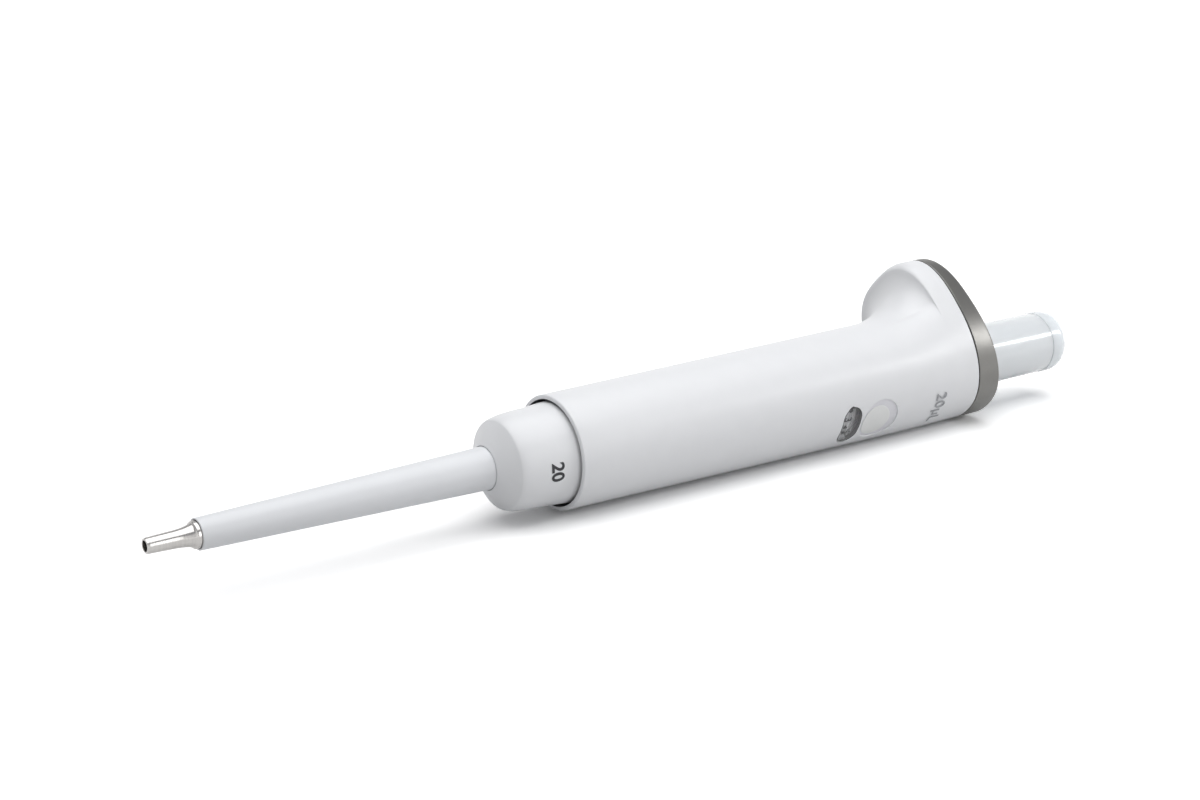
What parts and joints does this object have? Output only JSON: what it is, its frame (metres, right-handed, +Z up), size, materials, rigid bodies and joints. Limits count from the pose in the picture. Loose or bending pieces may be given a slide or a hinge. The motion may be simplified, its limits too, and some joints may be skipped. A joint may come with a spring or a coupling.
{
  "type": "fixed volume pipette",
  "caption": "Hand-held fixed volume air displacement pipette with a moulded finger hook, one push button for dispense, blow-out and tip ejection, and a steel tip cone",
  "frame": {"origin": "On the surface that the pipette lies on, at the middle of its box. The pipette lies on the side of its grip, as on a bench.", "axes": "+X runs along the pipette from the tip cone to the button, +Z is up from the bench, and the hook leans from +Z towards +Y by 45 degrees."},
  "size_m": [0.2412, 0.0366, 0.0366],
  "materials": {
    "white_moulding": "white moulded plastic, soft satin",
    "pale_moulding": "pale grey moulded plastic, soft satin",
    "clear_window": "clear polycarbonate",
    "clear_button": "frosted clear plastic, polished outside",
    "grey_seal_foil": "grey adhesive seal",
    "satin_metal": "satin blasted metal",
    "cone_steel": "fine turned stainless steel",
    "bright_steel": "turned steel",
    "spring_wire": "drawn spring wire",
    "natural_bearing_plastic": "natural bearing plastic",
    "dark_plastic": "black plastic",
    "black_rubber": "soft rubber"
  },
  "bodies": {
    "grip": {"grip_shell": "white_moulding", "end_plate": "satin_metal", "adjustment_window": "clear_window", "adjustment_seal": "grey_seal_foil", "button_bush": "natural_bearing_plastic", "carriage_stop_ring": "bright_steel", "nose_bulkhead": "natural_bearing_plastic", "nose_union_nut": "bright_steel", "nose_spring": "spring_wire", "ejector_spring": "spring_wire"},
    "nose": {"tip_cone": "cone_steel", "nose_shaft": "natural_bearing_plastic", "measuring_cylinder": "bright_steel", "seal_o_ring": "black_rubber", "piston_seal": "natural_bearing_plastic", "seal_gland": "bright_steel"},
    "ejector": {"ejector_sleeve": "pale_moulding", "ejector_bell": "white_moulding", "ejector_carriage": "natural_bearing_plastic", "stop_ring_clip": "spring_wire", "blow_out_spring": "spring_wire"},
    "stop": {"blow_out_stop_ring": "bright_steel", "measuring_spring": "spring_wire"},
    "plunger": {"push_rod": "bright_steel", "spring_seat": "natural_bearing_plastic", "piston": "bright_steel", "piston_head": "natural_bearing_plastic", "button_tube": "clear_button", "button_cap": "clear_button", "rod_centring_disc": "natural_bearing_plastic"},
    "adjuster": {"adjuster_sleeve": "natural_bearing_plastic", "adjustment_scale_ring": "dark_plastic"}
  },
  "joints": [
    {"name": "eject", "type": "slide", "parent": "grip", "child": "ejector", "axis": [-1, 0, 0], "range_m": [0, 0.0055], "stiffness_N_per_m": 1200, "springref_m": -0.01, "deforming": ["ejector_spring"]},
    {"name": "blow_out", "type": "slide", "parent": "ejector", "child": "stop", "axis": [-1, 0, 0], "range_m": [0, 0.003], "stiffness_N_per_m": 1000, "springref_m": -0.005, "deforming": ["blow_out_spring"]},
    {"name": "dispense", "type": "slide", "parent": "stop", "child": "plunger", "axis": [-1, 0, 0], "range_m": [0, 0.0128], "stiffness_N_per_m": 195, "springref_m": -0.0077, "deforming": ["measuring_spring"]},
    {"name": "nose_give", "type": "slide", "parent": "grip", "child": "nose", "axis": [1, 0, 0], "range_m": [0, 0.003], "stiffness_N_per_m": 1500, "springref_m": -0.002, "deforming": ["nose_spring"]},
    {"name": "adjust", "type": "hinge", "parent": "grip", "child": "adjuster", "pos_m": [0.0481, -0.00497, 0.01331], "axis": [1, 0, 0], "range_deg": [-60, 60]}
  ]
}
